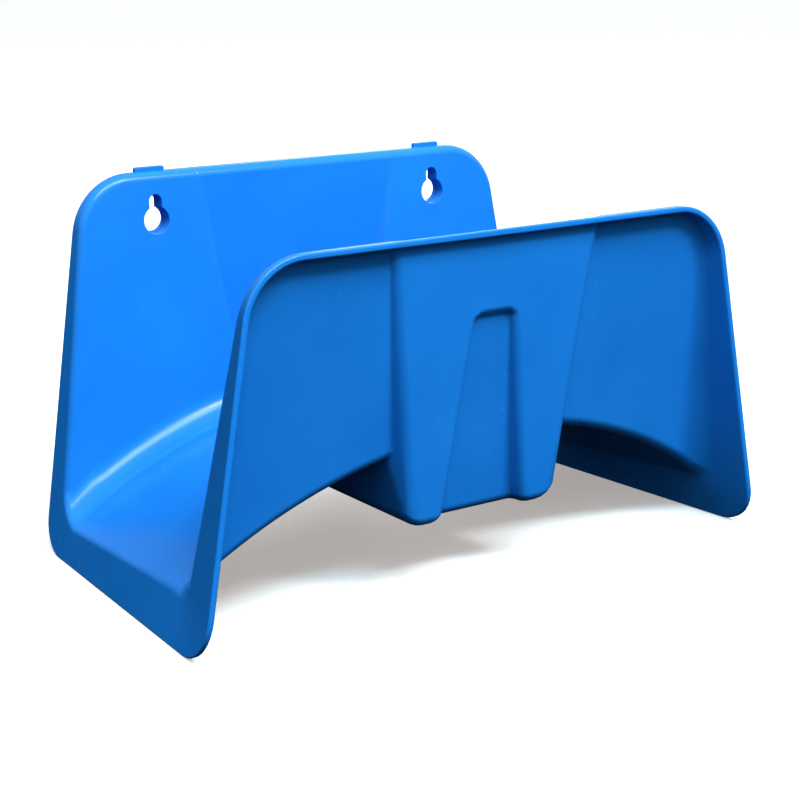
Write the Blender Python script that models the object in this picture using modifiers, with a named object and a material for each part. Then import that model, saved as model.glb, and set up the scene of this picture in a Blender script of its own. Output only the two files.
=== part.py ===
"""Wall-mounted hanger for a pool vacuum hose, moulded in blue plastic.

The hanger is a U-shaped shell: a back wall on the building's wall, an arched
saddle that the coiled hose lies over, and a leaning front wall.  Every outer
edge of the shell is folded outwards into a flange.  A belt bulges outwards
round the middle of the shell: down the back wall, under the saddle as a
trough, and up the front wall as a boss with a groove in it.

Axes: +X to the right, +Y into the wall, +Z up.  The origin lies on the wall
midway between the two screws.  Heights in the formulas below are measured
from the lower rims, and the whole hanger is placed by its parent.
"""
import math

import bmesh
import bpy
from mathutils import Vector

NAME = "pool_hose_hanger"

WALL = 0.003            # moulded wall thickness
GAP = 0.0003            # clearance between touching solids

# Outline of the rims
BACK_HEIGHT = 0.184
BACK_HALF_WIDTH = 0.150     # at the lower rim
BACK_TAPER = 0.151          # half width lost for each unit of height
BACK_CORNER = 0.030
FRONT_HEIGHT = 0.170
FRONT_HALF_WIDTH = 0.1613
FRONT_TAPER = 0.178
FRONT_CORNER = 0.031
DEPTH = 0.185               # wall to front lip at the lower rim
LIP_LEAN = 0.0195
FOOT_CORNER_BACK = 0.017    # rounding of the lower rim, seen from the side
FOOT_CORNER_FRONT = 0.021

# Faces of the channel that holds the hose
BACK_FOOT = 0.0198          # back wall's face to the building's wall, at the lower rim
BACK_LEAN = 0.072
FRONT_FOOT = 0.147          # front wall's face to the building's wall, at the lower rim
FRONT_LEAN = 0.152
SADDLE_RADIUS = 0.259
SADDLE_PEAK_BACK = 0.0632
SADDLE_PEAK_FRONT = 0.0732
SADDLE_RUN = 0.130          # over which the saddle climbs from back to front
BACK_FILLET = 0.014
FRONT_FILLET = 0.004

# Flange folds lie this far inside the rims
FOLD_INSET_BACK = 0.001
FOLD_INSET_FRONT = 0.003
FOLD_INSET_TOP = 0.0004

# Belt round the middle: boss, trough and rear recess
BELT_DRAFT = 0.0025         # sideways run of the belt's side walls
BELT_MARGIN = 0.005         # flat strip that belongs to the belt's solids
BOSS_FOOT = 0.1622          # outer face of the boss, at the lower rim
BOSS_LEAN = 0.0935
BOSS_HALF_WIDTH = 0.0385
BOSS_FLARE = 0.114
RECESS_TOP = 0.170          # height where the rear recess starts
RECESS_SLOPE = 0.105
RECESS_HALF_WIDTH = 0.024
RECESS_FLARE = 0.2
RECESS_STRAIGHT = 0.088     # below this height its sides are upright
TROUGH_FLOOR = 0.0326       # underside of the trough
TROUGH_FILLET = 0.006

# Groove down the boss
GROOVE_TOP = 0.1335
GROOVE_HALF_WIDTH = 0.010   # at its top
GROOVE_FLARE = 0.132
GROOVE_DRAFT = 0.0012
GROOVE_STEP = 0.0015        # run of the groove's upper end
GROOVE_PROUD = 0.0015       # floor of the groove in front of the front wall

# Keyholes and what backs them
KEYHOLE_X = 0.0839
KEYHOLE_HEIGHT = 0.1602     # centre of the round hole
KEYHOLE_RADIUS = 0.00685
SLOT_HALF_WIDTH = 0.00335
SLOT_TOP = 0.1729
SCREW_HEIGHT = SLOT_TOP - SLOT_HALF_WIDTH
NECK_INSET = 0.0006         # the keyhole is this much tighter through the pad
COLLAR_WALL = 0.0024
PAD_THICKNESS = 0.0025
PAD_WIDTH = 0.016
PAD_BOTTOM = 0.141
PAD_CORNER = 0.004
TAB_TOP = 0.1861

COLOUR = (0.010, 0.155, 0.720, 1.0)
ROUGHNESS = 0.38

# Rows and columns of the solids
CORNER_STEPS = 8
FILLET_STEPS = 8
FLOOR_STEPS = 5
OUTER_COLUMNS = 9
BELT_COLUMNS = (0, 1, 2, 2.5, 3, 3.5, 4)
SEAM = 0.02             # the panels end this far past the saddle's fillets
REAR_SEAM = -0.055      # where the rear recess ends on the trough's floor
FRONT_SEAM = -0.125     # where the front boss starts on it
WING_LOW_BACK = 0.045   # lower ends of the wings, where the skirts take over
WING_LOW_FRONT = 0.050

BACK_FOLD_TOP = BACK_HEIGHT - FOLD_INSET_TOP
FRONT_FOLD_TOP = FRONT_HEIGHT - FOLD_INSET_TOP
SHELL_EDGE = WALL + GAP     # the shell's solids stop this far inside the folds


# ---------------------------------------------------------------- formulas

def mix(a, b, f):
    return a + (b - a) * f


def back_face(z):
    return -(BACK_FOOT - BACK_LEAN * z)


def front_face(z):
    return -(FRONT_FOOT + FRONT_LEAN * z)


def lip_face(z):
    return -(DEPTH - LIP_LEAN * z)


def rim_side(y, z):
    """Half width of the end rims."""
    back = BACK_HALF_WIDTH - BACK_TAPER * z
    front = FRONT_HALF_WIDTH - FRONT_TAPER * z
    return mix(back, front, -y / DEPTH)


def fold_side(y, z):
    """Half width of the channel, where its surface folds into the end flange."""
    return rim_side(y, z) - mix(FOLD_INSET_BACK, FOLD_INSET_FRONT, -y / DEPTH)


def saddle_top(x, y):
    rise = (-y - BACK_FOOT) / SADDLE_RUN
    peak = mix(SADDLE_PEAK_BACK, SADDLE_PEAK_FRONT, rise)
    return peak - SADDLE_RADIUS + math.sqrt(SADDLE_RADIUS ** 2 - x ** 2)


def corner(side, taper, top, radius):
    """Centre of a rounded top corner, and the angle where the side line starts."""
    lean = math.atan(taper)
    height = top - radius
    touch = height + radius * math.sin(lean)
    return Vector((side(touch) - radius * math.cos(lean), height)), lean


def outline(side, taper, top, radius, count):
    """Points (x, z, angle) round a top corner, from the top edge to the side line."""
    centre, lean = corner(side, taper, top, radius)
    points = []
    for i in range(count + 1):
        angle = mix(math.pi / 2, lean, i / count)
        points.append((centre.x + radius * math.cos(angle), centre.y + radius * math.sin(angle), angle))
    return points


def half_width(side, taper, top, radius, z):
    """Half width of a wall with rounded top corners at height z."""
    centre, lean = corner(side, taper, top, radius)
    if z <= centre.y + radius * math.sin(lean):
        return side(z)
    return centre.x + math.sqrt(max(radius ** 2 - (z - centre.y) ** 2, 0.0))


def boss_side(z):
    """Half width of the boss's inner face."""
    return BOSS_HALF_WIDTH + BOSS_FLARE * z - WALL


def boss_face(z):
    """Inner face of the boss."""
    return -(BOSS_FOOT + BOSS_LEAN * z) + WALL


def groove_face(z):
    """Inner face of the groove's floor; above the groove it joins the boss."""
    floor = front_face(z) - GROOVE_PROUD
    depth = min(max((GROOVE_TOP - z) / GROOVE_STEP, 0.0), 1.0)
    return mix(boss_face(z), floor, depth)


def groove_side(z):
    return GROOVE_HALF_WIDTH + GROOVE_FLARE * max(GROOVE_TOP - z, 0.0)


def recess_side(z):
    return RECESS_HALF_WIDTH + RECESS_FLARE * max(z, RECESS_STRAIGHT)


def recess_face(z):
    return back_face(z) + RECESS_SLOPE * max(RECESS_TOP - z, 0.0)


# ------------------------------------------------------- the shell's surface

def walk(points, f):
    """Point at the fraction f of a polyline's length."""
    lengths = [(b - a).length for a, b in zip(points, points[1:])]
    left = f * sum(lengths)
    for a, b, length in zip(points, points[1:], lengths):
        if left <= length:
            return a.lerp(b, left / length)
        left -= length
    return points[-1].copy()


def arc(centre, radius, start, end, count=6):
    """Points (y, z) of an arc from the start angle to the end angle, in degrees."""
    angles = [math.radians(mix(start, end, i / count)) for i in range(count + 1)]
    return [centre + radius * Vector((math.cos(angle), math.sin(angle))) for angle in angles]


def base_point(x, s):
    """(y, z) on the shell beside the belt.

    s runs 0-1 down the back wall, 1-2 round the back fillet, 2-3 along the
    saddle, 3-4 round the front fillet and 4-5 up the front wall.
    """
    y_back = back_face(saddle_top(x, back_face(SADDLE_PEAK_BACK)))
    y_front = front_face(saddle_top(x, front_face(SADDLE_PEAK_FRONT)))
    low_back = saddle_top(x, y_back - BACK_FILLET) + BACK_FILLET
    low_front = saddle_top(x, y_front + FRONT_FILLET) + FRONT_FILLET
    if s <= 1:
        z = mix(BACK_FOLD_TOP - SHELL_EDGE, low_back, s)
        return Vector((back_face(z) if s < 1 else back_face(low_back), z))
    if s <= 2:
        angle = (s - 1) * math.pi / 2
        y_top = back_face(low_back)
        y = mix(y_top, y_back - BACK_FILLET, 1 - math.cos(angle))
        return Vector((y, low_back - BACK_FILLET * math.sin(angle)))
    if s <= 3:
        y = mix(y_back - BACK_FILLET, y_front + FRONT_FILLET, s - 2)
        return Vector((y, saddle_top(x, y)))
    if s <= 4:
        angle = (s - 3) * math.pi / 2
        y_top = front_face(low_front)
        y = mix(y_front + FRONT_FILLET, y_top, math.sin(angle))
        return Vector((y, low_front - FRONT_FILLET * math.cos(angle)))
    z = mix(low_front, FRONT_FOLD_TOP - SHELL_EDGE, s - 4)
    return Vector((front_face(z), z))


def belt_point(x, s, face):
    """(y, z) on the belt, with the same s; face is the front wall that it follows."""
    floor = TROUGH_FLOOR + WALL
    y_back = recess_face(floor) - TROUGH_FILLET
    y_front = face(floor) + TROUGH_FILLET
    if s <= 1:
        z = base_point(x, s).y
        return Vector((recess_face(z), z))
    if s <= 2:
        high = base_point(x, 1).y
        bend = arc(Vector((y_back, floor + TROUGH_FILLET)), TROUGH_FILLET, 0, -90)
        return walk([Vector((recess_face(high), high))] + bend, s - 1)
    if s <= 3:
        return Vector((mix(y_back, y_front, s - 2), floor))
    if s <= 4:
        high = base_point(x, 4).y
        bend = arc(Vector((y_front, floor + TROUGH_FILLET)), TROUGH_FILLET, -90, -180)
        return walk(bend + [Vector((face(high), high))], s - 3)
    z = base_point(x, s).y
    return Vector((face(z), z))


def belt_side(s, z):
    """Half widths of the belt where its side wall starts and where it ends."""
    if s <= 1:
        return recess_side(z), recess_side(z) - BELT_DRAFT
    if s >= 4:
        return boss_side(z) + BELT_DRAFT, boss_side(z)
    forward = min(max(s - 2, 0), 1)
    outer = mix(recess_side(0), boss_side(base_point(BOSS_HALF_WIDTH, 4).y) + BELT_DRAFT, forward)
    if s > 3:
        return outer, boss_side(z)
    return outer, mix(recess_side(0) - BELT_DRAFT, boss_side(TROUGH_FLOOR + WALL), forward)


def belt_column(t, s):
    """Point on the belt, for t from 0 at the middle to 4 at its open side.

    t runs 0-1 over the groove's floor, 1-2 up the groove's side, 2-3 over the
    belt's inner face and 3-4 up the belt's side wall.
    """
    face = belt_point(BOSS_HALF_WIDTH, s, boss_face)
    groove = belt_point(BOSS_HALF_WIDTH, s, groove_face)
    groove_edge = groove_side(face.y) + WALL
    outer, inner = belt_side(s, face.y)
    if t <= 1:
        return Vector(((groove_edge - GROOVE_DRAFT) * t, groove.x, groove.y))
    if t <= 2:
        p = groove.lerp(face, t - 1)
        return Vector((groove_edge + GROOVE_DRAFT * (t - 2), p.x, p.y))
    if t <= 3:
        return Vector((mix(groove_edge, inner, t - 2), face.x, face.y))
    p = face.lerp(base_point(outer, s), t - 3)
    return Vector((mix(inner, outer, t - 3), p.x, p.y))


def back_side(inset):
    return lambda z: fold_side(back_face(z), z) - inset


def front_side(inset):
    return lambda z: fold_side(front_face(z), z) - inset


def end_side(s, inset):
    """Half width of the shell in row s, the inset inside the fold."""
    base = min(max(s, 1), 4)
    x = BACK_HALF_WIDTH
    for _ in range(8):      # settles, because the fold leans much less than the saddle
        x = fold_side(*base_point(x, base)) - inset
    if base == s:
        return x
    z = base_point(x, s).y
    if s < 1:
        return half_width(back_side(inset), BACK_TAPER, BACK_FOLD_TOP - inset, BACK_CORNER - inset, z)
    return half_width(front_side(inset), FRONT_TAPER, FRONT_FOLD_TOP - inset, FRONT_CORNER - inset, z)


def outer_column(u, s, start):
    """Point beside the belt, for u from 0 at the start distance to 1 at the end."""
    base = min(max(s, 1), 4)
    belt_edge = belt_side(s, base_point(BOSS_HALF_WIDTH, s).y)[0] + start
    base_edge = belt_side(base, base_point(BOSS_HALF_WIDTH, base).y)[0] + start
    p = base_point(mix(base_edge, end_side(base, SHELL_EDGE), u), s)
    return Vector((mix(belt_edge, end_side(s, SHELL_EDGE), u), p.x, p.y))


# ------------------------------------------------------------ mesh building

def new_collection(name):
    made = bpy.data.collections.new(name)
    bpy.context.scene.collection.children.link(made)
    return made


def plastic(name):
    material = bpy.data.materials.new(name + "_plastic")
    material.use_nodes = True
    shader = material.node_tree.nodes["Principled BSDF"]
    shader.inputs["Base Color"].default_value = COLOUR
    shader.inputs["Roughness"].default_value = ROUGHNESS
    shader.inputs["Metallic"].default_value = 0.0
    return material


def mesh_from(name, build, face_out=True):
    if face_out:
        bmesh.ops.recalc_face_normals(build, faces=build.faces)
    mesh = bpy.data.meshes.new(name)
    build.to_mesh(mesh)
    build.free()
    return mesh


def add_part(name, mesh):
    part = bpy.data.objects.new(name, mesh)
    bpy.data.collections[NAME].objects.link(part)
    part.parent = bpy.data.objects["hanger_frame"]
    mesh.materials.append(plastic(name))
    mesh.shade_smooth()
    mesh.set_sharp_from_angle(angle=math.radians(30))
    return part


def shell_piece(name, rows):
    """Stretch of the shell: a grid on the channel side, thickened outwards."""
    build = bmesh.new()
    grid = [[build.verts.new(p) for p in row] for row in rows]
    for upper, lower in zip(grid, grid[1:]):
        for i in range(len(upper) - 1):
            build.faces.new((upper[i], upper[i + 1], lower[i + 1], lower[i]))
    part = add_part(name, mesh_from(name, build, face_out=False))
    solid = part.modifiers.new("wall", "SOLIDIFY")
    solid.thickness = WALL
    solid.offset = 1
    solid.use_even_offset = True
    solid.use_quality_normals = True
    return part


def loft(name, sections, ring=False):
    """Mesh through sections of equal point counts: capped, or closed into a ring."""
    build = bmesh.new()
    loops = [[build.verts.new(p) for p in section] for section in sections]
    count = len(loops[0])
    for a, b in zip(loops, loops[1:] + loops[:1] if ring else loops[1:]):
        for i in range(count):
            j = (i + 1) % count
            build.faces.new((a[i], a[j], b[j], b[i]))
    if not ring:
        build.faces.new(loops[0])
        build.faces.new(loops[-1])
    return mesh_from(name, build)


def cut(part, cutter):
    hole = part.modifiers.new("cut", "BOOLEAN")
    hole.operation = "DIFFERENCE"
    hole.solver = "EXACT"
    hole.object = cutter


# -------------------------------------------------------------------- shell

def mirrored(rows, side):
    """Rows of one half, flipped to the given side and kept in order of x."""
    if side > 0:
        return rows
    return [[Vector((-p.x, p.y, p.z)) for p in reversed(row)] for row in rows]


def steps(start, end, count):
    return [mix(start, end, i / count) for i in range(count + 1)]


def back_rows():
    """Values of s down the back wall, close together round its top corner."""
    inset = SHELL_EDGE
    top = BACK_FOLD_TOP - inset
    low = base_point(BOSS_HALF_WIDTH, 1).y
    corner = outline(back_side(inset), BACK_TAPER, top, BACK_CORNER - inset, CORNER_STEPS)
    heights = [z for _, z, _ in corner]
    heights += steps(heights[-1], low, 5)[1:] + [RECESS_TOP, RECESS_STRAIGHT]
    return [(top - z) / (top - low) for z in sorted(heights, reverse=True)]


def front_rows():
    """Values of s up the front wall, close together round its top corner."""
    inset = SHELL_EDGE
    top = FRONT_FOLD_TOP - inset
    low = base_point(BOSS_HALF_WIDTH, 4).y
    corner = outline(front_side(inset), FRONT_TAPER, top, FRONT_CORNER - inset, CORNER_STEPS)
    heights = [z for _, z, _ in corner]
    heights += steps(heights[-1], low, 5)[1:] + [GROOVE_TOP, GROOVE_TOP - GROOVE_STEP]
    return [4 + (z - low) / (top - low) for z in sorted(heights)]


def saddle_rows():
    return steps(1, 2, FILLET_STEPS) + steps(2, 3, FLOOR_STEPS)[1:] + steps(3, 4, FILLET_STEPS)[1:]


def add_outer_shell(side, word):
    columns = steps(0, 1, OUTER_COLUMNS)
    start = BELT_MARGIN + GAP
    gap = GAP / (BACK_HEIGHT - SADDLE_PEAK_BACK)
    back = back_rows()[:-1] + [1 - SEAM - gap]
    front = [4 + SEAM + gap] + front_rows()[1:]
    saddle = [1 - SEAM] + saddle_rows() + [4 + SEAM]
    made = {}
    for part, rows in (("back_panel", back), ("saddle", saddle), ("front_panel", front)):
        grid = [[outer_column(u, s, start) for u in columns] for s in rows]
        made[part] = shell_piece(f"{part}_{word}", mirrored(grid, side))
    return made["back_panel"]


def half_belt_row(s):
    return [belt_column(t, s) for t in BELT_COLUMNS] + [outer_column(0, s, BELT_MARGIN)]


def seam_row(y):
    """Half row across the trough, upright at the given distance from the wall."""
    return [a.lerp(b, (y - a.y) / (b.y - a.y)) for a, b in zip(half_belt_row(2), half_belt_row(3))]


def whole(half):
    return [Vector((-p.x, p.y, p.z)) for p in reversed(half[1:])] + half


def add_belt():
    """Rear recess, trough and front boss, which meet on the trough's floor."""
    rear = [half_belt_row(s) for s in back_rows() + steps(1, 2, FILLET_STEPS)[1:]]
    rear.append(seam_row(REAR_SEAM))
    trough = [seam_row(y) for y in steps(REAR_SEAM - GAP, FRONT_SEAM + GAP, 3)]
    front = [seam_row(FRONT_SEAM)]
    front += [half_belt_row(s) for s in steps(3, 4, FILLET_STEPS) + front_rows()[1:]]
    for name, rows in (("rear_recess", rear), ("trough", trough), ("front_boss", front)):
        shell_piece(name, [whole(row) for row in rows])


# ------------------------------------------------------------------ flanges

def section(fold, rim, inward):
    """Corners of a flange's cross-section: outer face, then inner face."""
    return fold, rim, rim + inward * WALL, fold + inward * WALL


def corner_sections(fold_corner, rim_corner, face, rim_face):
    """Cross-sections round a wall's top corner."""
    made = []
    for (x, z, angle), (rim_x, rim_z, _) in zip(outline(*fold_corner), outline(*rim_corner)):
        inward = Vector((-math.cos(angle), 0, -math.sin(angle)))
        made.append(section(Vector((x, face(z), z)), Vector((rim_x, rim_face(rim_z), rim_z)), inward))
    return made


def wall_plane(z):
    return 0.0


def back_corner():
    fold = (back_side(0), BACK_TAPER, BACK_FOLD_TOP, BACK_CORNER, CORNER_STEPS)
    rim = (lambda z: rim_side(0, z), BACK_TAPER, BACK_HEIGHT, BACK_CORNER + FOLD_INSET_BACK, CORNER_STEPS)
    return corner_sections(fold, rim, back_face, wall_plane)


def front_corner():
    fold = (front_side(0), FRONT_TAPER, FRONT_FOLD_TOP, FRONT_CORNER, CORNER_STEPS)
    rim = (lambda z: rim_side(lip_face(z), z), FRONT_TAPER, FRONT_HEIGHT, FRONT_CORNER, CORNER_STEPS)
    return corner_sections(fold, rim, front_face, lip_face)


def side_section(z, face, rim_face):
    fold = Vector((fold_side(face(z), z), face(z), z))
    rim = Vector((rim_side(rim_face(z), z), rim_face(z), z))
    return section(fold, rim, Vector((-1, 0, 0)))


def wing(corner_list, face, rim_face, low):
    """Cross-sections of a wing, from its top corner down to the given height."""
    high = corner_list[-1][0].z
    return corner_list + [side_section(z, face, rim_face) for z in steps(high, low, 4)[1:]]


def top_edge(corner_list):
    """Cross-sections along the top of a wall, between its two corners."""
    fold, rim, _, _ = corner_list[0]
    made = []
    for f in steps(-1, 1, 6):
        along = Vector(((fold.x - GAP) * f, fold.y, fold.z))
        rim_along = Vector(((rim.x - GAP) * f, rim.y, rim.z))
        made.append(section(along, rim_along, Vector((0, 0, -1))))
    return made


def skirt():
    """Cross-sections from the back wing, under the saddle's end, to the front wing."""
    y_front = lip_face(FOOT_CORNER_FRONT) + FOOT_CORNER_FRONT
    centre_back = Vector((-FOOT_CORNER_BACK, FOOT_CORNER_BACK))
    centre_front = Vector((y_front, FOOT_CORNER_FRONT))
    floor = [Vector((y, 0)) for y in steps(-FOOT_CORNER_BACK, y_front, FLOOR_STEPS)]
    rims = arc(centre_back, FOOT_CORNER_BACK, 0, -90, FILLET_STEPS) + floor[1:-1]
    rims += arc(centre_front, FOOT_CORNER_FRONT, -90, -180, FILLET_STEPS)
    made = [side_section(WING_LOW_BACK - GAP, back_face, wall_plane)]
    for s, (y, z) in zip(saddle_rows(), rims):
        fold, inner = (Vector((x, *base_point(x, s))) for x in (end_side(s, 0), end_side(s, WALL)))
        rim = Vector((rim_side(y, z), y, z))
        made.append((fold, rim, rim - Vector((WALL, 0, 0)), inner))
    return made + [side_section(WING_LOW_FRONT - GAP, front_face, lip_face)]


def add_flange(name, sections, side=1):
    add_part(name, loft(name, [[Vector((side * p.x, p.y, p.z)) for p in corners] for corners in sections]))


def add_flanges():
    back = back_corner()
    front = front_corner()
    add_flange("back_top_flange", top_edge(back))
    add_flange("front_top_lip", top_edge(front))
    for side, word in ((-1, "left"), (1, "right")):
        add_flange(f"back_wing_{word}", wing(back, back_face, wall_plane, WING_LOW_BACK), side)
        add_flange(f"end_skirt_{word}", skirt(), side)
        add_flange(f"front_wing_{word}", wing(front, front_face, lip_face, WING_LOW_FRONT), side)


# ----------------------------------------------------------------- keyholes

def keyhole(grow):
    """Outline (x, z) of a keyhole centred on x = 0, grown all round."""
    radius = KEYHOLE_RADIUS + grow
    slot = SLOT_HALF_WIDTH + grow
    meet = math.degrees(math.acos(slot / radius))
    round_hole = arc(Vector((0, KEYHOLE_HEIGHT)), radius, meet, -180 - meet, 24)
    return round_hole + arc(Vector((0, SCREW_HEIGHT)), slot, 180, 0, 10)


def keyhole_cutter(name, x, grow):
    ends = [[Vector((x + p.x, y, p.y)) for p in keyhole(grow)] for y in (-BACK_FOOT, WALL)]
    cutter = bpy.data.objects.new(name, loft(name, ends))
    bpy.data.collections["cutters"].objects.link(cutter)
    cutter.parent = bpy.data.objects["hanger_frame"]
    cutter.hide_render = True
    cutter.display_type = "WIRE"
    return cutter


def add_collar(x, word):
    """Ring round the keyhole, from the pad forward to the back panel."""
    sections = []
    for inner, outer in zip(keyhole(0), keyhole(COLLAR_WALL)):
        rear = -PAD_THICKNESS - GAP
        sections.append([Vector((x + inner.x, rear, inner.y)), Vector((x + outer.x, rear, outer.y)),
                         Vector((x + outer.x, back_face(outer.y) + WALL + GAP, outer.y)),
                         Vector((x + inner.x, back_face(inner.y) + WALL + GAP, inner.y))])
    name = f"keyhole_collar_{word}"
    add_part(name, loft(name, sections, ring=True))


def block(name, x, width, low, high):
    """Upright plate on the wall, as thick as a pad."""
    build = bmesh.new()
    bmesh.ops.create_cube(build, size=1)
    bmesh.ops.scale(build, vec=(width, PAD_THICKNESS, high - low), verts=build.verts)
    bmesh.ops.translate(build, vec=(x, -PAD_THICKNESS / 2, (low + high) / 2), verts=build.verts)
    return add_part(name, mesh_from(name, build))


def round_lower_corners(part, radius):
    """Round the two upright-plate edges that run into the wall at its lower end."""
    mesh = part.data
    weight = mesh.attributes.new("bevel_weight_edge", "FLOAT", "EDGE")
    lowest = min(v.co.z for v in mesh.vertices)
    for edge in mesh.edges:
        a, b = (mesh.vertices[i].co for i in edge.vertices)
        level = max(a.z, b.z) - lowest < GAP
        if level and abs(a.x - b.x) < GAP:
            weight.data[edge.index].value = 1.0
    bevel = part.modifiers.new("round", "BEVEL")
    bevel.limit_method = "WEIGHT"
    bevel.width = radius
    bevel.segments = 5


def add_keyhole(side, word, back_panel):
    x = side * KEYHOLE_X
    cut(back_panel, keyhole_cutter(f"keyhole_cutter_{word}", x, 0))
    add_collar(x, word)
    pad = block(f"wall_pad_{word}", x, PAD_WIDTH, PAD_BOTTOM, BACK_FOLD_TOP - WALL - GAP)
    round_lower_corners(pad, PAD_CORNER)
    cut(pad, keyhole_cutter(f"neck_cutter_{word}", x, -NECK_INSET))
    block(f"top_tab_{word}", x, PAD_WIDTH, BACK_HEIGHT + GAP, TAB_TOP)


# --------------------------------------------------------------------- main

def main():
    for old in list(bpy.data.objects):
        bpy.data.objects.remove(old, do_unlink=True)
    new_collection(NAME)
    new_collection("cutters")
    frame = bpy.data.objects.new("hanger_frame", None)
    bpy.data.collections[NAME].objects.link(frame)
    frame.location.z = -SCREW_HEIGHT

    for side, word in ((-1, "left"), (1, "right")):
        back_panel = add_outer_shell(side, word)
        add_keyhole(side, word, back_panel)
    add_belt()
    add_flanges()
    bpy.context.view_layer.update()


main()
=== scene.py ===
"""Looks of the pool hose hanger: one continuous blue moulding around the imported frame.

The CAD divides the moulding into members.  Here they are one skin with its real
corner radii: a channel-side surface, an outer surface one wall thickness behind
it, and a flange folded outwards round every outer edge.
"""

import math

import bmesh
import bpy
from mathutils import Matrix, Vector


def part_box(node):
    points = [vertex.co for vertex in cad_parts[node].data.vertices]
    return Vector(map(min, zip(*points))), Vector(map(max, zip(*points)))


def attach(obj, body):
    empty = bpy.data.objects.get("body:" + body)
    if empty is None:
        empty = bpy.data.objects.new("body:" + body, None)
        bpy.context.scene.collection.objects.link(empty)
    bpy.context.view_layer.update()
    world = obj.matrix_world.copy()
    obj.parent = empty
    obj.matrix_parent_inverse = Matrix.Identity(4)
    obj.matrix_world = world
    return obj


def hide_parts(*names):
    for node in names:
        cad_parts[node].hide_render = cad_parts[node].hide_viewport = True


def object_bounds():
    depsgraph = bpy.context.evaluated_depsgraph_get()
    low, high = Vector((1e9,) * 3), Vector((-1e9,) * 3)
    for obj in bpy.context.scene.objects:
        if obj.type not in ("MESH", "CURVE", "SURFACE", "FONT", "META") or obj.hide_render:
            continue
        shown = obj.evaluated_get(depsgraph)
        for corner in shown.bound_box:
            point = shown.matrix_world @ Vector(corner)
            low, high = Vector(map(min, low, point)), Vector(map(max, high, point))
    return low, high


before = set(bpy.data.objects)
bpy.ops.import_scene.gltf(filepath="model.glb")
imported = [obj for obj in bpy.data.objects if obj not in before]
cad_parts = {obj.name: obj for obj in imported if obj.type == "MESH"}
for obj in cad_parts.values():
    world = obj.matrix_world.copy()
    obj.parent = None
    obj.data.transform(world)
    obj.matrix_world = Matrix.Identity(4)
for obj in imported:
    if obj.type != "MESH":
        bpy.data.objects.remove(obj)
CAD_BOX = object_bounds()

# Driving sizes from the frame.  Heights in the formulas are above the lower rims.
BASE = CAD_BOX[0][2]
BACK_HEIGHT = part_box("back_top_flange")[1][2] - BASE
FRONT_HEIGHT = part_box("front_top_lip")[1][2] - BASE
KEYHOLE_X = sum(corner[0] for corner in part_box("wall_pad_right")) / 2
TROUGH_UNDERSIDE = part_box("trough")[0][2] - BASE
SCREW_HEIGHT = -BASE

WALL = 0.003

# Rims
BACK_HALF_WIDTH = 0.150
BACK_TAPER = 0.151
BACK_CORNER = 0.030
FRONT_HALF_WIDTH = 0.1613
FRONT_TAPER = 0.178
FRONT_CORNER = 0.031
DEPTH = 0.185
LIP_LEAN = 0.0195
FOOT_CORNER_BACK = 0.017
FOOT_CORNER_FRONT = 0.021
RIM_EDGE = 0.0010           # rounding of the rim's two edges

# Channel
BACK_FOOT = 0.0198
BACK_LEAN = 0.072
FRONT_FOOT = 0.147
FRONT_LEAN = 0.152
SADDLE_RADIUS = 0.259
SADDLE_PEAK_BACK = 0.0632
SADDLE_PEAK_FRONT = 0.0732
SADDLE_RUN = 0.130
BACK_FILLET = 0.014
FRONT_FILLET = 0.004

# Flange folds
FOLD_INSET_BACK = 0.001
FOLD_INSET_FRONT = 0.003
FOLD_INSET_TOP = 0.0004
REACH = 0.014               # the grid of the shell ends this far inside the fold
FOLD_RADIUS = 0.0046        # on the channel side
FOLD_RADIUS_BACK = 0.0034   # down the back wall's sides
FOLD_RADIUS_FRONT_LOW = 0.012
FOLD_RADIUS_FRONT_HIGH = 0.007
FOLD_RADIUS_LIP = 0.0060

# Belt
BELT_DRAFT = 0.0025
BOSS_FOOT = 0.1622
BOSS_LEAN = 0.0935
BOSS_HALF_WIDTH = 0.0385
BOSS_FLARE = 0.114
RECESS_TOP = 0.170
RECESS_SLOPE = 0.105
RECESS_HALF_WIDTH = 0.024
RECESS_FLARE = 0.2
RECESS_STRAIGHT = 0.088
RECESS_BLEND = 0.010        # softness of its bends
BELT_BEND = 0.0028          # channel-side radius of the trough's two bends
GROOVE_TOP = 0.1335
GROOVE_HALF_WIDTH = 0.010
GROOVE_FLARE = 0.132
GROOVE_DRAFT = 0.0020
GROOVE_RUN = 0.0034
GROOVE_PROUD = 0.0015
GROOVE_CORNER = 0.006
GROOVE_FOOT = 0.004
GROOVE_ABOVE = 0.006        # reach of the profile past the groove's end, both ways
GROOVE_BELOW = 0.010

# Channel-side radii of the belt's corners; the outer face's differ by the wall
GROOVE_VALLEY = 0.0042
GROOVE_LIP = 0.0014
BELT_EDGE = 0.0026
BELT_EDGE_FLOOR = 0.0080
BELT_VALLEY = 0.0045
OUTER_STEPS = 16
SMALL = 0.002               # step in s for finding directions

# Keyholes
KEYHOLE_HEIGHT = 0.1602
KEYHOLE_RADIUS = 0.00685
SLOT_HALF_WIDTH = 0.00335
NECK_INSET = 0.0006
COLLAR_WALL = 0.0024
KEYHOLE_EDGE = 0.0004       # rounding of a keyhole's mouth
CUT_PAST = 0.004            # the cutter reaches this far past both faces

PAD_CORNER = 0.004
TAB_CORNER = 0.0008
TAB_EDGE = 0.0004

# Finish
DEEP_BLUE = (0.009, 0.188, 0.640, 1)
PALE_BLUE = (0.012, 0.212, 0.690, 1)
SCUFFED_BLUE = (0.030, 0.240, 0.700, 1)

# Camera, placed from the middle of the hanger's width on the wall at the lower rims
EYE = Vector((-0.4823, -0.7973, 0.2972))
LENS = 80.1
YAW = 34.56
PITCH = 14.73
ROLL = -0.53

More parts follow.
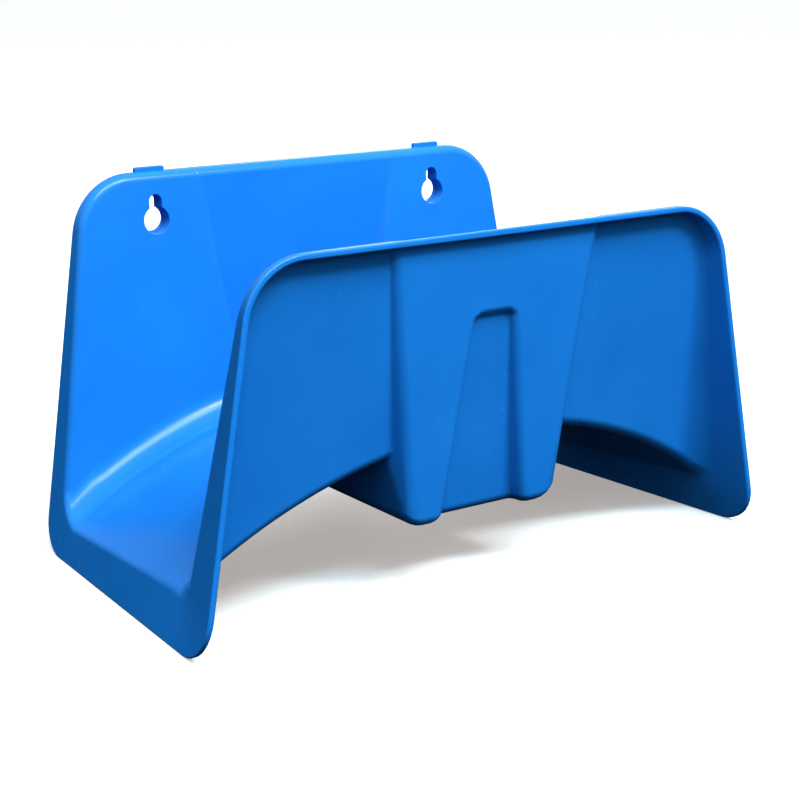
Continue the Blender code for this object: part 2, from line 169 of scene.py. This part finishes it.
# Stage
STAGE_REACH = 14
FLOOR_COLOUR = (0.93, 0.91, 0.89, 1)
FLOOR_GLOW = (1, 0.92, 0.86, 1)
FLOOR_LIGHT = 0.35

# Lights, placed from the middle of the hanger
SKY = 0.92
SKY_COLOUR = (0.86, 0.94, 1.0, 1)
GROUND = 0.01
DUSK = (-0.05, 0.35)        # heights of direction between which the ground turns into sky
BEHIND = (0.1, 0.8)         # depths of direction over which the sky dims towards the wall
SKY_BEHIND = 0.45           # share of the sky's light that is left behind the hanger
KEY_PLACE = Vector((0.65, -1.40, 1.65))
KEY_SIZE = (0.40, 0.40)
KEY_POWER = 18
TOP_PLACE = Vector((-0.10, -1.05, 1.68))
TOP_SIZE = (1.2, 0.75)
TOP_POWER = 50
TOP_COLOUR = (0.6, 0.88, 1.0)
REAR_PLACE = Vector((1.4, 1.5, 0.9))
REAR_SIZE = (1.0, 1.0)
REAR_POWER = 9

BACK_FOLD_TOP = BACK_HEIGHT - FOLD_INSET_TOP
FRONT_FOLD_TOP = FRONT_HEIGHT - FOLD_INSET_TOP
FLOOR = TROUGH_UNDERSIDE + WALL


# ---------------------------------------------------------------- formulas

def mix(a, b, f):
    return a + (b - a) * f


def smooth(f):
    f = min(max(f, 0.0), 1.0)
    return f * f * (3 - 2 * f)


def steps(start, end, count):
    return [mix(start, end, i / count) for i in range(count + 1)]


def arc(centre, radius, start, end, count):
    angles = [math.radians(a) for a in steps(start, end, count)]
    return [centre + radius * Vector((math.cos(a), math.sin(a))) for a in angles]


def back_face(z):
    return -(BACK_FOOT - BACK_LEAN * z)


def front_face(z):
    return -(FRONT_FOOT + FRONT_LEAN * z)


def lip_face(z):
    return -(DEPTH - LIP_LEAN * z)


def wall_plane(z):
    return 0.0


def rim_side(y, z):
    back = BACK_HALF_WIDTH - BACK_TAPER * z
    front = FRONT_HALF_WIDTH - FRONT_TAPER * z
    return mix(back, front, -y / DEPTH)


def fold_side(y, z):
    return rim_side(y, z) - mix(FOLD_INSET_BACK, FOLD_INSET_FRONT, -y / DEPTH)


def saddle_top(x, y):
    peak = mix(SADDLE_PEAK_BACK, SADDLE_PEAK_FRONT, (-y - BACK_FOOT) / SADDLE_RUN)
    return peak - SADDLE_RADIUS + math.sqrt(SADDLE_RADIUS ** 2 - x ** 2)


class Corner:
    """Rounded top corner of a wall's outline, seen from the front."""

    def __init__(self, side, taper, top, radius):
        self.side = side
        self.lean = math.atan(taper)
        self.radius = radius
        self.z = top - radius
        self.touch = self.z + radius * math.sin(self.lean)      # where the side line starts
        self.x = side(self.touch) - radius * math.cos(self.lean)

    def at(self, angle):
        return self.x + self.radius * math.cos(angle), self.z + self.radius * math.sin(angle)

    def half_width(self, z):
        if z <= self.touch:
            return self.side(z)
        return self.x + math.sqrt(max(self.radius ** 2 - (z - self.z) ** 2, 0.0))

    def angle(self, z):
        return math.asin(min((z - self.z) / self.radius, 1.0))


def fold_corner(front, inset):
    """Corner of the fold line, or of a line the inset inside it."""
    if front:
        return Corner(lambda z: fold_side(front_face(z), z) - inset, FRONT_TAPER,
                      FRONT_FOLD_TOP - inset, FRONT_CORNER - inset)
    return Corner(lambda z: fold_side(back_face(z), z) - inset, BACK_TAPER,
                  BACK_FOLD_TOP - inset, BACK_CORNER - inset)


def rim_corner(front):
    if front:
        return Corner(lambda z: rim_side(lip_face(z), z), FRONT_TAPER, FRONT_HEIGHT, FRONT_CORNER)
    return Corner(lambda z: rim_side(0, z), BACK_TAPER, BACK_HEIGHT, BACK_CORNER + FOLD_INSET_BACK)


# ------------------------------------------------------- the shell's surface
# s runs 0-1 down the back wall, 1-2 round the back fillet, 2-3 along the
# saddle, 3-4 round the front fillet and 4-5 up the front wall.

def base_point(x, s):
    """(y, z) on the shell beside the belt."""
    y_back = back_face(saddle_top(x, back_face(SADDLE_PEAK_BACK)))
    y_front = front_face(saddle_top(x, front_face(SADDLE_PEAK_FRONT)))
    low_back = saddle_top(x, y_back - BACK_FILLET) + BACK_FILLET
    low_front = saddle_top(x, y_front + FRONT_FILLET) + FRONT_FILLET
    if s < 1:
        z = mix(BACK_FOLD_TOP - REACH, low_back, s)
        return Vector((back_face(z), z))
    if s < 2:
        angle = (s - 1) * math.pi / 2
        y = mix(back_face(low_back), y_back - BACK_FILLET, 1 - math.cos(angle))
        return Vector((y, low_back - BACK_FILLET * math.sin(angle)))
    if s <= 3:
        y = mix(y_back - BACK_FILLET, y_front + FRONT_FILLET, s - 2)
        return Vector((y, saddle_top(x, y)))
    if s <= 4:
        angle = (s - 3) * math.pi / 2
        y = mix(y_front + FRONT_FILLET, front_face(low_front), math.sin(angle))
        return Vector((y, low_front - FRONT_FILLET * math.cos(angle)))
    z = mix(low_front, FRONT_FOLD_TOP - REACH, s - 4)
    return Vector((front_face(z), z))


def boss_side(z):
    return BOSS_HALF_WIDTH + BOSS_FLARE * z - WALL


def boss_face(z):
    return -(BOSS_FOOT + BOSS_LEAN * z) + WALL


def rounded(a, b, c, radius, count, share_a=0.45, share_c=0.45, edge=None):
    """Points of an arc round the corner b between the lines to a and c.

    With edge, the direction of the edge that is rounded, the arc lies square to it;
    with a shorter edge it turns part of the way.
    """
    into, away = a - b, c - b
    if edge:
        into, away = (line - edge * line.dot(edge) for line in (into, away))
    turn = into.angle(-away)
    most_a, most_c = into.length * share_a, away.length * share_c
    reach = max(radius * math.tan(turn / 2), 0.8 * min(most_a, most_c) * math.cos(turn) ** 8)
    start = b + into.normalized() * min(reach, most_a)
    end = b + away.normalized() * min(reach, most_c)
    points = []
    for f in steps(0, 1, count):
        weights = (1 - f) ** 2, 2 * f * (1 - f) * math.cos(turn / 2), f * f
        points.append((start * weights[0] + b * weights[1] + end * weights[2]) / sum(weights))
    return points


def full_groove_depth(z):
    return front_face(z) - GROOVE_PROUD - boss_face(z)


def groove_end():
    """(depth, height) profile of the groove's upper end, from above it downwards."""
    low = GROOVE_TOP - GROOVE_RUN
    depth = full_groove_depth(low)
    above, top = Vector((0, GROOVE_TOP + GROOVE_ABOVE)), Vector((0, GROOVE_TOP))
    foot, below = Vector((depth, low)), Vector((depth, low - GROOVE_BELOW))
    lip = rounded(above, top, foot, GROOVE_LIP, 4)
    return lip + rounded(top, foot, below, GROOVE_VALLEY, 6, 0.7, 0.9)


GROOVE_END = groove_end()


def groove_face(z):
    """Inner face of the groove's floor; above the groove it joins the boss."""
    if z >= GROOVE_END[0].y:
        return boss_face(z)
    for a, b in zip(GROOVE_END, GROOVE_END[1:]):
        if z >= b.y:
            return boss_face(z) + mix(a.x, b.x, (a.y - z) / (a.y - b.y))
    return boss_face(z) + full_groove_depth(z)


def groove_side(z):
    """Half width of the groove, round in its upper corners and at the foot of its sides."""
    above = min(max((z - GROOVE_TOP + GROOVE_CORNER) / GROOVE_CORNER, 0.0), 0.96)
    narrowing = GROOVE_CORNER * (1 - math.sqrt(1 - above ** 2))
    below = min(max((FLOOR + GROOVE_FOOT - z) / GROOVE_FOOT, 0.0), 0.85)
    widening = GROOVE_FOOT * (1 - math.sqrt(1 - below ** 2))
    return GROOVE_HALF_WIDTH + GROOVE_FLARE * max(GROOVE_TOP - z, 0.0) - narrowing + widening


def recess_side(z):
    above = z - RECESS_STRAIGHT
    height = RECESS_STRAIGHT + (above + math.hypot(above, RECESS_BLEND)) / 2
    return RECESS_HALF_WIDTH + RECESS_FLARE * height


def recess_face(z):
    below = RECESS_TOP - z
    return back_face(z) + RECESS_SLOPE * (below + math.hypot(below, RECESS_BLEND)) / 2


def belt_point(s, face):
    """(y, z) on the belt with the same s; face is the front wall that it follows."""
    high_back, high_front = (base_point(BOSS_HALF_WIDTH, end).y for end in (1, 4))
    bend = FLOOR + BELT_BEND
    if s < 1 or s > 4:
        z = base_point(BOSS_HALF_WIDTH, s).y
        return Vector(((recess_face if s < 1 else face)(z), z))
    if s < 2:
        if s < 1.5:
            z = mix(high_back, bend, (s - 1) * 2)
            return Vector((recess_face(z), z))
        angle = (s - 1.5) * math.pi
        y = recess_face(bend) - BELT_BEND * (1 - math.cos(angle))
        return Vector((y, bend - BELT_BEND * math.sin(angle)))
    if s <= 3:
        return Vector((mix(recess_face(bend) - BELT_BEND, face(bend) + BELT_BEND, s - 2), FLOOR))
    if s < 3.5:
        angle = (s - 3) * math.pi
        y = face(bend) + BELT_BEND * (1 - math.sin(angle))
        return Vector((y, bend - BELT_BEND * math.cos(angle)))
    z = mix(bend, high_front, (s - 3.5) * 2)
    return Vector((face(z), z))


def belt_side(s, z):
    """Half widths of the belt where its side wall starts and where it ends."""
    if s < 1:
        return recess_side(z), recess_side(z) - BELT_DRAFT
    if s > 4:
        return boss_side(z) + BELT_DRAFT, boss_side(z)
    forward = min(max(s - 2, 0), 1)
    outer = mix(recess_side(base_point(BOSS_HALF_WIDTH, 1).y),
                boss_side(base_point(BOSS_HALF_WIDTH, 4).y) + BELT_DRAFT, forward)
    if s > 3:
        return outer, boss_side(z)
    return outer, mix(recess_side(z) - BELT_DRAFT, boss_side(FLOOR), forward)


def end_side(s, inset):
    """Half width of the shell in row s, the inset inside the fold."""
    base = min(max(s, 1), 4)
    x = BACK_HALF_WIDTH
    for _ in range(8):      # settles, because the fold leans much less than the saddle
        x = fold_side(*base_point(x, base)) - inset
    if base == s:
        return x
    return fold_corner(s > 4, inset).half_width(base_point(x, s).y)


def outer_point(u, s):
    """Point beside the belt, for u from 0 at the belt to 1 where the grid ends."""
    base = min(max(s, 1), 4)
    belt_edge, base_edge = (belt_side(k, base_point(BOSS_HALF_WIDTH, k).y)[0] for k in (s, base))
    p = base_point(mix(base_edge, end_side(base, REACH), u), s)
    return Vector((mix(belt_edge, end_side(s, REACH), u), p.x, p.y))


def knots(s):
    """Corners of half a row before rounding: the middle, four corners, and a point beside."""
    face = belt_point(s, boss_face)
    groove = belt_point(s, groove_face)
    groove_edge = groove_side(face.y) + WALL
    outer, inner = belt_side(s, face.y)
    corners = ((0, groove), (groove_edge - GROOVE_DRAFT, groove), (groove_edge, face),
               (inner, face), (outer, base_point(outer, s)))
    return [Vector((x, *place)) for x, place in corners] + [outer_point(1 / OUTER_STEPS, s)]


def edge_direction(line, s):
    """Direction of a line across the rows at s, where line(s) gives its point."""
    return (line(min(s + SMALL, 5)) - line(max(s - SMALL, 0))).normalized()


def half_row(s):
    """Points from the middle of row s to the end of the grid, with rounded corners."""
    row = knots(s)
    on_floor = smooth((s - 1.5) * 2) * smooth((3.9 - s) / 0.8)
    radii = (GROOVE_VALLEY, GROOVE_LIP, mix(BELT_EDGE, BELT_EDGE_FLOOR, on_floor), BELT_VALLEY)
    shares = ((0.2, 0.7), (0.25, 0.25), (mix(0.45, 0.74, on_floor), 0.5), (0.45, 0.6))
    points = [row[0], row[0].lerp(row[1], 0.5)]
    for i, (radius, share) in enumerate(zip(radii, shares), 1):
        points += rounded(row[i - 1], row[i], row[i + 1], radius, 5, *share)
    return points + [outer_point(u, s) for u in steps(0, 1, OUTER_STEPS)[1:]]


def row_values():
    """Values of s for the rows of the grid, close together where the surface bends."""
    values = set()
    for front in (False, True):
        corner = fold_corner(front, REACH)
        top = corner.z + corner.radius
        end = 4 if front else 1
        low = base_point(end_side(end, REACH), end).y
        heights = [corner.at(angle)[1] for angle in steps(math.pi / 2, corner.lean, 12)]
        fractions = [(top - z) / (top - low) for z in heights]
        fractions += steps(fractions[-1], 1, 10)[1:]
        values.update(5 - f if front else f for f in fractions)
    low = base_point(BOSS_HALF_WIDTH, 4).y
    top = FRONT_FOLD_TOP - REACH
    values.update(4 + (p.y - low) / (top - low) for p in GROOVE_END)
    values.update(steps(1, 2, 16) + steps(2, 3, 16) + steps(3, 4, 16))
    return sorted(values)


# ------------------------------------------------------------ flange stations

def fold_radius(s, angle, lean):
    """Channel-side radius of the fold beside row s."""
    back = mix(FOLD_RADIUS_BACK, FOLD_RADIUS, smooth(s - 1))
    low = mix(back, FOLD_RADIUS_FRONT_LOW, smooth((s - 2.5) / 1.5))
    side = mix(low, FOLD_RADIUS_FRONT_HIGH, max(s - 4, 0))
    lip = FOLD_RADIUS_LIP if s > 4 else FOLD_RADIUS
    return mix(side, lip, smooth((angle - lean) / (math.pi / 2 - lean)))


def walk(points, f):
    """Point at the fraction f of a polyline's length."""
    lengths = [(b - a).length for a, b in zip(points, points[1:])]
    left = f * sum(lengths)
    for a, b, length in zip(points, points[1:], lengths):
        if left <= length:
            return a.lerp(b, left / length)
        left -= length
    return points[-1].copy()


def wall_station(s, front):
    """Fold, rim, way inwards and fold radius beside a row of the back or front wall."""
    grid, fold, rim = fold_corner(front, REACH), fold_corner(front, 0), rim_corner(front)
    face, rim_face = (front_face, lip_face) if front else (back_face, wall_plane)
    end = 4 if front else 1
    z = base_point(end_side(end, REACH), s).y
    if z > grid.touch:
        angle = grid.angle(z)
        (x, z), (rim_x, rim_z) = fold.at(angle), rim.at(angle)
        inward = Vector((-math.cos(angle), 0, -math.sin(angle)))
    else:
        angle = grid.lean
        f = (grid.touch - z) / (grid.touch - base_point(end_side(end, REACH), end).y)
        low = base_point(end_side(end, 0), end).y
        z, rim_z = mix(fold.touch, low, f), mix(rim.touch, low, f)
        x, rim_x = fold.side(z), rim.side(rim_z)
        inward = Vector((-math.cos(angle), 0, -math.sin(angle)))
        inward = inward.lerp(Vector((-1, 0, 0)), f).normalized()
    return (Vector((x, face(z), z)), Vector((rim_x, rim_face(rim_z), rim_z)), inward,
            fold_radius(s, angle, grid.lean))


def foot_path(front):
    """(y, z) of the lower rim from where it meets the wall's side to the saddle's end."""
    upper, lower = (4, 3) if front else (1, 2)
    z = base_point(end_side(upper, 0), upper).y
    end = Vector((base_point(end_side(lower, 0), lower).x, 0))
    if front:
        centre = Vector((lip_face(FOOT_CORNER_FRONT) + FOOT_CORNER_FRONT, FOOT_CORNER_FRONT))
        return [Vector((lip_face(z), z))] + arc(centre, FOOT_CORNER_FRONT, 180, 270, 24) + [end]
    centre = Vector((-FOOT_CORNER_BACK, FOOT_CORNER_BACK))
    return [Vector((0, z))] + arc(centre, FOOT_CORNER_BACK, 0, -90, 24) + [end]


def end_station(s):
    """As wall_station, beside a row of the saddle or its fillets."""
    x = end_side(s, 0)
    fold = Vector((x, *base_point(x, s)))
    if s < 2:
        rim = walk(foot_path(False), s - 1)
    elif s <= 3:
        rim = Vector((fold.y, 0))
    else:
        rim = walk(foot_path(True), 4 - s)
    return fold, Vector((rim_side(*rim), *rim)), Vector((-1, 0, 0)), fold_radius(s, 0, 0)


def side_station(s):
    if 1 <= s <= 4:
        return end_station(s)
    return wall_station(s, s > 4)


def top_station(top, below, end, front):
    """As wall_station, above a column with these two highest points.

    The belt's slopes carry on up to the fold.
    """
    fold, rim, inward, radius = wall_station(5 if front else 0, front)
    side = belt_side(5 if front else 0, top.z)[0]
    flare = (BOSS_FLARE if front else RECESS_FLARE) * (fold.z - top.z)
    flare *= min(abs(top.x) / side, (end - abs(top.x)) / (end - side))
    x = top.x + math.copysign(flare, top.x)
    y = mix(below.y, top.y, (fold.z - below.z) / (top.z - below.z))
    return Vector((x, y, fold.z)), Vector((x * rim.x / fold.x, rim.y, rim.z)), inward, radius


def flip(vector):
    return Vector((-vector.x, vector.y, vector.z))


# ------------------------------------------------------------------ moulding

def flange_points(inner, station, edge):
    """Channel-side points of the flange, from the grid's edge out to the rim."""
    fold, rim, _, radius = station
    bend = rounded(inner, fold, rim, radius, 7, 0.95, 0.72, edge)
    back = bend[-1] - rim
    near, start = (rim + back.normalized() * min(reach, back.length * share)
                   for reach, share in ((3 * RIM_EDGE, 0.7), (RIM_EDGE, 0.4)))
    return bend + [bend[-1].lerp(near, 0.5), near, start]


def rim_section(points, station):
    """Round the rim's two edges, from the flange's channel side to its outer side."""
    _, rim, inward, _ = station
    back = points[-1] - rim
    along = back.normalized()
    across = rim + inward * WALL / (along - inward * along.dot(inward)).length
    flat = inward * back.length
    return (rounded(points[-1], rim, rim + flat, 1, 4, 1, 1)
            + rounded(across - flat, across, across + back, 1, 4, 1, 1))


def flange(v, station, edge):
    points = flange_points(v.co, station, edge)
    return v, points, rim_section(points, station)


def perimeter(grid, values):
    """The grid's edge vertices in order, each with the points of its flange and of its rim."""
    last = len(grid[0]) - 1
    above = []
    for front in (False, True):
        row, below = (grid[-1], grid[-2]) if front else (grid[0], grid[1])
        end = row[last].co.x
        above.append([flange(v, top_station(v.co, w.co, end, front), Vector((1, 0, 0)))
                      for v, w in zip(row[1:last], below[1:last])])
    right, left = [], []
    for row, s in zip(grid, values):
        edge = edge_direction(lambda t: side_station(t)[0], s) * math.sqrt(1 - smooth(s - 2))
        right.append(flange(row[last], side_station(s), edge))
        left.append((row[0], *([flip(p) for p in part] for part in right[-1][1:])))
    return above[0] + right + above[1][::-1] + left[::-1]


def finished(build, name):
    mesh = bpy.data.meshes.new(name)
    build.to_mesh(mesh)
    build.free()
    return mesh


def bridge(build, ring, next_ring):
    count = len(ring)
    for i in range(count):
        j = (i + 1) % count
        build.faces.new((ring[i], ring[j], next_ring[j], next_ring[i]))


def moulding_mesh():
    """Channel-side surface and outer surface, joined round the rim."""
    values = row_values()
    build = bmesh.new()
    grid = []
    for s in values:
        half = half_row(s)
        row = [flip(p) for p in reversed(half[1:])] + half
        grid.append([build.verts.new(p) for p in row])
    for upper, lower in zip(grid, grid[1:]):
        for i in range(len(upper) - 1):
            build.faces.new((upper[i], lower[i], lower[i + 1], upper[i + 1]))
    loop = perimeter(grid, values)
    rings = [[v for v, _, _ in loop]]
    for ring in zip(*(points for _, points, _ in loop)):
        rings.append([build.verts.new(p) for p in ring])
        bridge(build, rings[-2], rings[-1])
    build.normal_update()

    rims = {v: rim[-1] for v, (_, _, rim) in zip(rings[-1], loop)}
    outer = {}
    for v in list(build.verts):
        place = rims.get(v) or v.co - v.normal * WALL * v.calc_shell_factor()
        outer[v] = build.verts.new(place)
    for face in list(build.faces):
        build.faces.new([outer[v] for v in reversed(face.verts)])
    ring = rings[-1]
    for points in zip(*(rim[1:-1] for _, _, rim in loop)):
        ring, before = [build.verts.new(p) for p in points], ring
        bridge(build, before, ring)
    bridge(build, ring, [outer[v] for v in rings[-1]])
    bmesh.ops.recalc_face_normals(build, faces=build.faces)
    return finished(build, "moulding")


# ----------------------------------------------------------------- keyholes

def keyhole(grow):
    """Outline (x, z) of a keyhole centred on x = 0, grown all round."""
    radius = KEYHOLE_RADIUS + grow
    slot = SLOT_HALF_WIDTH + grow
    meet = math.degrees(math.acos(slot / radius))
    round_hole = arc(Vector((0, KEYHOLE_HEIGHT)), radius, meet, -180 - meet, 40)
    return round_hole + arc(Vector((0, SCREW_HEIGHT)), slot, 180, 0, 16)


def loft(name, sections):
    """Closed mesh through sections of equal point counts."""
    build = bmesh.new()
    loops = [[build.verts.new(p) for p in section] for section in sections]
    for a, b in zip(loops, loops[1:]):
        bridge(build, a, b)
    build.faces.new(loops[0])
    build.faces.new(loops[-1])
    bmesh.ops.recalc_face_normals(build, faces=build.faces)
    return finished(build, name)


def keyhole_section(x, grow, behind):
    """Outline of a keyhole at the given distance behind the back wall's face."""
    return [Vector((x + p.x, back_face(p.y) + behind, p.y)) for p in keyhole(grow)]


def keyhole_cutter(x):
    """Keyhole through the wall, tighter through the pad, with a rounded mouth."""
    mouth = [(2 * KEYHOLE_EDGE, -CUT_PAST), (KEYHOLE_EDGE, 0),
             (0.3 * KEYHOLE_EDGE, 0.3 * KEYHOLE_EDGE), (0, KEYHOLE_EDGE)]
    sections = [keyhole_section(x, grow, behind) for grow, behind in mouth]
    pad_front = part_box("wall_pad_right")[0][1]
    for grow, y in ((0, pad_front), (-NECK_INSET, pad_front), (-NECK_INSET, CUT_PAST)):
        sections.append([Vector((x + p.x, y, p.y)) for p in keyhole(grow)])
    return loft("keyhole_cutter", sections)


def collar(x):
    """Wall round the keyhole between the back wall and the pad, left solid for the cutter."""
    pad_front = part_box("wall_pad_right")[0][1]
    outer = keyhole(COLLAR_WALL)
    return loft("collar", [[Vector((x + p.x, back_face(p.y) + WALL / 2, p.y)) for p in outer],
                           [Vector((x + p.x, pad_front / 2, p.y)) for p in outer]])


def plate(side):
    """Pad on the wall behind the keyhole, which runs up into the tab above the edge."""
    low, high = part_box(f"wall_pad_{side}")
    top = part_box(f"top_tab_{side}")[1][2]
    build = bmesh.new()
    bmesh.ops.create_cube(build, size=1)
    for v in build.verts:
        v.co = Vector((low[0] if v.co.x < 0 else high[0], low[1] if v.co.y < 0 else high[1],
                       (low[2] if v.co.z < 0 else top) - BASE))

    def soften(chosen, offset, segments):
        edges = [e for e in build.edges if chosen(*e.verts)]
        bmesh.ops.bevel(build, geom=edges, offset=offset, segments=segments, profile=0.5,
                        affect="EDGES")

    def through(a, b):
        return abs(a.co.y - b.co.y) > WALL / 2

    soften(lambda a, b: through(a, b) and a.co.z < KEYHOLE_HEIGHT, PAD_CORNER, 8)
    soften(lambda a, b: through(a, b) and a.co.z > BACK_HEIGHT, TAB_CORNER, 4)
    soften(lambda a, b: max(a.co.y, b.co.y) < low[1] + WALL / 9, TAB_EDGE, 3)
    bmesh.ops.recalc_face_normals(build, faces=build.faces)
    return finished(build, "plate")


# ----------------------------------------------------------------- assembly

def in_scene(name, mesh):
    made = bpy.data.objects.new(name, mesh)
    bpy.context.scene.collection.objects.link(made)
    return made


def give(target, mesh):
    old, target.data = target.data, mesh
    bpy.data.meshes.remove(old)


def apply_modifiers(target):
    bpy.context.view_layer.update()
    shown = target.evaluated_get(bpy.context.evaluated_depsgraph_get())
    mesh = bpy.data.meshes.new_from_object(shown)
    target.modifiers.clear()
    give(target, mesh)


def combine(target, mesh, operation):
    tool = in_scene("tool", mesh)
    step = target.modifiers.new("combine", "BOOLEAN")
    step.operation = operation
    step.solver = "MANIFOLD"
    step.object = tool
    apply_modifiers(target)
    bpy.data.objects.remove(tool)
    bpy.data.meshes.remove(mesh)


def ordered(mesh):
    """The mesh with its faces in a fixed order, each from its lowest vertex on."""
    faces = []
    for polygon in mesh.polygons:
        corners = list(polygon.vertices)
        first = corners.index(min(corners))
        faces.append(corners[first:] + corners[:first])
    made = bpy.data.meshes.new(mesh.name)
    made.from_pydata([v.co for v in mesh.vertices], [], sorted(faces))
    return made


def moulding():
    body = in_scene("hanger_moulding", moulding_mesh())
    for side, x in (("left", -KEYHOLE_X), ("right", KEYHOLE_X)):
        combine(body, plate(side), "UNION")
        combine(body, collar(x), "UNION")
        combine(body, keyhole_cutter(x), "DIFFERENCE")
    give(body, ordered(body.data))
    body.data.transform(Matrix.Translation((0, 0, BASE)))
    body.data.shade_smooth()
    body.data.set_sharp_from_angle(angle=math.radians(35))
    normals = body.modifiers.new("even shading", "WEIGHTED_NORMAL")
    normals.keep_sharp = True
    return body


# ----------------------------------------------------------------- material

def ranged(tree, value, start, end, low, high):
    """Map Range node on the value, set from start-end to low-high."""
    node = tree.nodes.new("ShaderNodeMapRange")
    numbers = {"From Min": start, "From Max": end, "To Min": low, "To Max": high}
    for name, number in numbers.items():
        node.inputs[name].default_value = number
    tree.links.new(value, node.inputs["Value"])
    return node


def blue_plastic():
    material = bpy.data.materials.new("moulded_blue_plastic")
    material.use_nodes = True
    tree = material.node_tree
    nodes, links = tree.nodes, tree.links
    shader = nodes["Principled BSDF"]
    where = nodes.new("ShaderNodeTexCoord").outputs["Object"]

    def noise(scale, detail, roughness):
        node = nodes.new("ShaderNodeTexNoise")
        node.inputs["Scale"].default_value = scale
        node.inputs["Detail"].default_value = detail
        node.inputs["Roughness"].default_value = roughness
        links.new(where, node.inputs["Vector"])
        return node.outputs["Fac"]

    def spread(value, low, high, start=0.3, end=0.7):
        return ranged(tree, value, start, end, low, high).outputs["Result"]

    def blend(first, second, amount):
        node = nodes.new("ShaderNodeMix")
        node.data_type = "RGBA"
        links.new(amount, node.inputs["Factor"])
        node.inputs["B"].default_value = second
        if isinstance(first, tuple):
            node.inputs["A"].default_value = first
        else:
            links.new(first, node.inputs["A"])
        return node.outputs["Result"]

    # Mottled blue, with a few faint scuffs that are paler and duller
    scuffs = spread(noise(75, 6, 0.75), 0, 0.35, 0.62, 0.74)
    mottle = blend(DEEP_BLUE, PALE_BLUE, spread(noise(22, 3, 0.55), 0, 1))
    links.new(blend(mottle, SCUFFED_BLUE, scuffs), shader.inputs["Base Color"])
    gloss = nodes.new("ShaderNodeMath")
    gloss.operation = "MULTIPLY_ADD"
    links.new(scuffs, gloss.inputs[0])
    gloss.inputs[1].default_value = 0.4
    links.new(spread(noise(60, 4, 0.6), 0.19, 0.26), gloss.inputs[2])
    links.new(gloss.outputs["Value"], shader.inputs["Roughness"])

    peel = nodes.new("ShaderNodeBump")
    peel.inputs["Strength"].default_value = 0.10
    peel.inputs["Distance"].default_value = 0.0002
    links.new(noise(420, 1, 0.5), peel.inputs["Height"])
    links.new(peel.outputs["Normal"], shader.inputs["Normal"])
    shader.inputs["IOR"].default_value = 1.49
    shader.inputs["Specular IOR Level"].default_value = 0.30
    return material


# -------------------------------------------------------------------- stage

def pale(name, base, glow, strength):
    material = bpy.data.materials.new(name)
    material.use_nodes = True
    shader = material.node_tree.nodes["Principled BSDF"]
    shader.inputs["Base Color"].default_value = base
    shader.inputs["Roughness"].default_value = 0.9
    shader.inputs["Emission Color"].default_value = glow
    shader.inputs["Emission Strength"].default_value = strength
    return material


def staged(name, build, material):
    """A stage object that keeps no light from the hanger and throws none on it."""
    mesh = finished(build, name)
    mesh.materials.append(material)
    made = in_scene(name, mesh)
    made.location.z = BASE
    made.visible_diffuse = made.visible_glossy = made.visible_shadow = False
    return made


def floor():
    build = bmesh.new()
    bmesh.ops.create_grid(build, x_segments=1, y_segments=1, size=STAGE_REACH)
    return staged("floor", build, pale("pale_floor", FLOOR_COLOUR, FLOOR_GLOW, FLOOR_LIGHT))


def backdrop():
    """Pale wall all round, far off."""
    build = bmesh.new()
    bmesh.ops.create_cone(build, segments=64, radius1=STAGE_REACH, radius2=STAGE_REACH,
                          depth=2 * STAGE_REACH)
    return staged("backdrop", build, pale("pale_backdrop", (0, 0, 0, 1), (1, 1, 1, 1), 1))


def softbox(name, place, aim, size, power, colour=(1, 1, 1)):
    data = bpy.data.lights.new(name, "AREA")
    data.color = colour
    data.shape = "RECTANGLE"
    data.size, data.size_y = size
    data.energy = power
    lamp = bpy.data.objects.new(name, data)
    bpy.context.scene.collection.objects.link(lamp)
    lamp.location = place
    lamp.rotation_euler = (aim - place).to_track_quat("-Z", "Y").to_euler()


def studio():
    world = bpy.data.worlds.new("studio")
    world.use_nodes = True
    tree = world.node_tree
    nodes, links = tree.nodes, tree.links
    nodes["Background"].inputs["Color"].default_value = SKY_COLOUR
    split = nodes.new("ShaderNodeSeparateXYZ")
    links.new(nodes.new("ShaderNodeTexCoord").outputs["Generated"], split.inputs["Vector"])

    def ramp(axis, *limits):
        node = ranged(tree, split.outputs[axis], *limits)
        node.interpolation_type = "SMOOTHSTEP"
        return node.outputs["Result"]

    level = nodes.new("ShaderNodeMath")
    level.operation = "MULTIPLY"
    links.new(ramp("Z", *DUSK, GROUND, SKY), level.inputs[0])
    links.new(ramp("Y", *BEHIND, 1, SKY_BEHIND), level.inputs[1])
    links.new(level.outputs["Value"], nodes["Background"].inputs["Strength"])
    bpy.context.scene.world = world
    middle = Vector((0, -DEPTH / 2, BASE + FRONT_HEIGHT / 2))
    softbox("key", middle + KEY_PLACE, middle, KEY_SIZE, KEY_POWER)
    softbox("rear", middle + REAR_PLACE, middle, REAR_SIZE, REAR_POWER)
    softbox("top", middle + TOP_PLACE, middle, TOP_SIZE, TOP_POWER, TOP_COLOUR)
    bpy.context.scene.view_settings.view_transform = "Standard"


def camera():
    data = bpy.data.cameras.new("camera")
    data.sensor_width = 36
    data.lens = LENS
    eye = bpy.data.objects.new("camera", data)
    bpy.context.scene.collection.objects.link(eye)
    eye.location = EYE + Vector((0, 0, BASE))
    yaw, pitch, roll = (math.radians(a) for a in (YAW, PITCH, ROLL))
    turn = (Matrix.Rotation(-yaw, 3, "Z") @ Matrix.Rotation(math.pi / 2 - pitch, 3, "X")
            @ Matrix.Rotation(roll, 3, "Z"))
    eye.rotation_euler = turn.to_euler()
    bpy.context.scene.camera = eye


body = moulding()
body.data.materials.clear()
body.data.materials.append(blue_plastic())
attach(body, "root")
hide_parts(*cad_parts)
floor()
backdrop()
studio()
camera()
